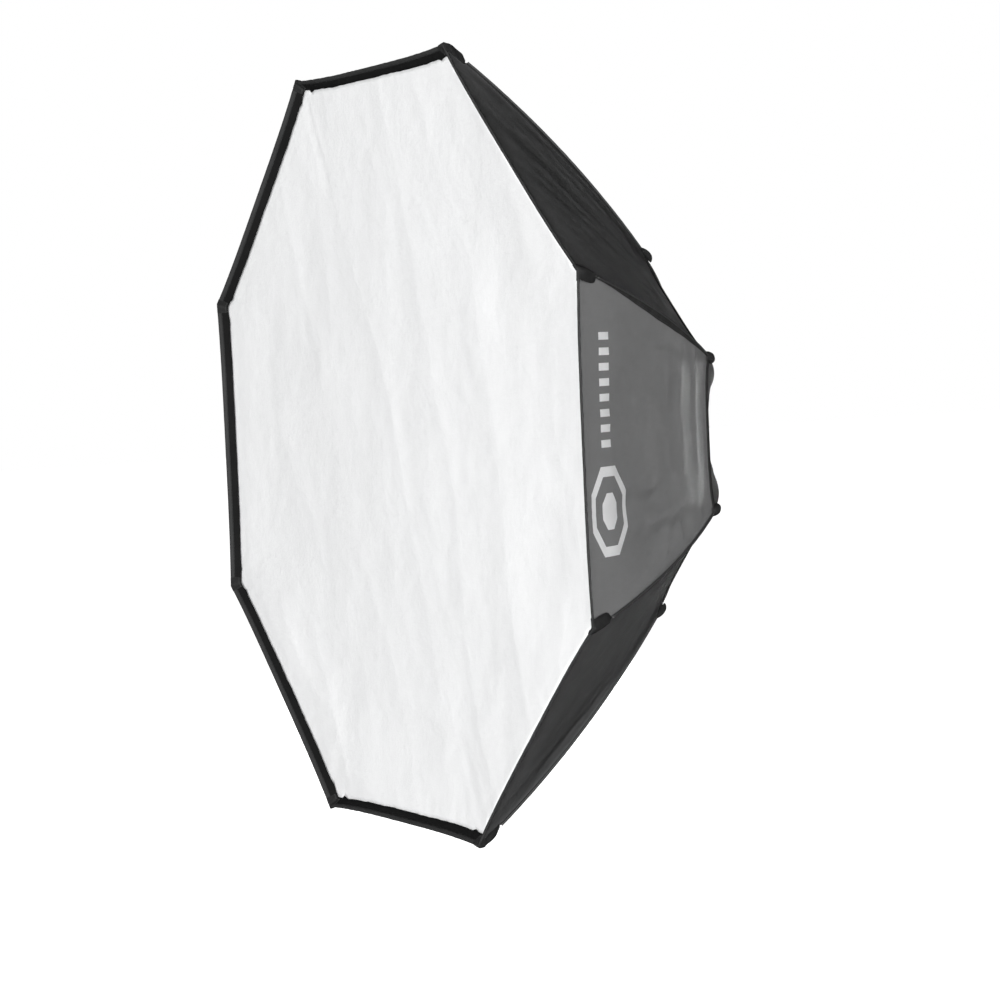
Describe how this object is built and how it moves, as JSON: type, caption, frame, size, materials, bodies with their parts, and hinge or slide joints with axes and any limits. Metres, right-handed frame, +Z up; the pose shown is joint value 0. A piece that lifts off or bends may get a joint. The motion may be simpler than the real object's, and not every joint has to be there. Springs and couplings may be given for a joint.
{
  "type": "studio softbox",
  "caption": "Octagonal studio softbox with sprung ribs in a speedring, a black cloth shell, a recessed front lip and two white diffusers.",
  "frame": {"origin": "centre of the bayonet insert's rear face, where it seats on the lamp", "axes": "+Y along the optical axis back towards the lamp, -Y towards the subject, +Z up"},
  "size_m": [1.665, 0.7823, 1.665],
  "materials": {
    "shell_cloth": "woven polyester, slight sheen",
    "black_trim": "dense woven tape",
    "webbing": "ribbed webbing",
    "white_cloth": "thin translucent cloth",
    "hook_and_loop": "hook and loop tape",
    "elastic": "flat elastic",
    "black_plastic": "moulded",
    "knob_plastic": "moulded, fine texture",
    "spring_steel": "drawn spring steel",
    "ring_paint": "black powder coat",
    "aluminium": "turned, satin",
    "black_metal": "black anodised",
    "screw_steel": "zinc plated",
    "brass": "turned"
  },
  "bodies": {
    "light_mount": {"bayonet_insert": "aluminium", "retaining_ring": "aluminium", "retaining_screws": "screw_steel"},
    "shell": {"corner_pockets": "black_trim", "front_lip": "black_trim", "gore_1": "shell_cloth", "gore_2": "shell_cloth", "gore_3": "shell_cloth", "gore_4": "shell_cloth", "gore_5": "shell_cloth", "gore_6": "shell_cloth", "gore_7": "shell_cloth", "gore_8": "shell_cloth", "lip_loop_tape": "hook_and_loop", "rear_panel_1": "shell_cloth", "rear_panel_2": "shell_cloth", "rear_panel_3": "shell_cloth", "rear_panel_4": "shell_cloth", "rear_panel_5": "shell_cloth", "rear_panel_6": "shell_cloth", "rear_panel_7": "shell_cloth", "rear_panel_8": "shell_cloth", "rib_1": "spring_steel", "rib_2": "spring_steel", "rib_3": "spring_steel", "rib_4": "spring_steel", "rib_5": "spring_steel", "rib_6": "spring_steel", "rib_7": "spring_steel", "rib_8": "spring_steel", "rib_clips": "black_plastic", "rib_tip_caps": "black_plastic", "rod_socket_1": "black_metal", "rod_socket_2": "black_metal", "rod_socket_3": "black_metal", "rod_socket_4": "black_metal", "rod_socket_5": "black_metal", "rod_socket_6": "black_metal", "rod_socket_7": "black_metal", "rod_socket_8": "black_metal", "seam_piping": "black_trim", "shoulder_binding": "black_trim", "shoulder_tabs": "webbing", "socket_screws": "screw_steel", "speedring": "ring_paint"},
    "lock_shoe": {"lock_shoe": "brass"},
    "lock_knob": {"lock_screw": "screw_steel", "lock_knob": "knob_plastic"},
    "outer_diffuser": {"front_diffuser": "white_cloth", "diffuser_hook_tape": "hook_and_loop"},
    "inner_diffuser": {"inner_diffuser": "white_cloth", "inner_loops": "elastic"},
    "flap_1": {"access_flap_1": "shell_cloth"},
    "flap_2": {"access_flap_2": "shell_cloth"},
    "flap_3": {"access_flap_3": "shell_cloth"},
    "flap_4": {"access_flap_4": "shell_cloth"}
  },
  "joints": [
    {"name": "shell_rotation", "type": "hinge", "parent": "light_mount", "child": "shell", "pos_m": [0, 0, 0], "axis": [0, 1, 0], "continuous": true},
    {"name": "lock_travel", "type": "slide", "parent": "shell", "child": "lock_shoe", "axis": [-0.7071, 0, -0.7071], "range_m": [0, 0.00187]},
    {"name": "lock_turn", "type": "hinge", "parent": "lock_shoe", "child": "lock_knob", "pos_m": [-0.06364, -0.013, -0.06364], "axis": [-0.7071, 0, -0.7071], "range_deg": [0, 541]},
    {"name": "outer_diffuser_release", "type": "slide", "parent": "shell", "child": "outer_diffuser", "axis": [0, -1, 0], "range_m": [0, 0.25]},
    {"name": "inner_diffuser_release", "type": "slide", "parent": "shell", "child": "inner_diffuser", "axis": [0, -1, 0], "range_m": [0, 0.15]},
    {"name": "flap_1_fold", "type": "hinge", "parent": "shell", "child": "flap_1", "pos_m": [0, -0.05324, 0.19956], "axis": [1, 0, 0], "range_deg": [0, 120]},
    {"name": "flap_2_fold", "type": "hinge", "parent": "shell", "child": "flap_2", "pos_m": [-0.19956, -0.05324, 0], "axis": [0, 0, 1], "range_deg": [0, 120]},
    {"name": "flap_3_fold", "type": "hinge", "parent": "shell", "child": "flap_3", "pos_m": [0, -0.05324, -0.19956], "axis": [-1, 0, 0], "range_deg": [0, 120]},
    {"name": "flap_4_fold", "type": "hinge", "parent": "shell", "child": "flap_4", "pos_m": [0.19956, -0.05324, 0], "axis": [0, 0, -1], "range_deg": [0, 120]}
  ],
  "couplings": [
    {"joint": "lock_turn", "follows": "lock_travel", "rad_per_m": 5026.5}
  ]
}
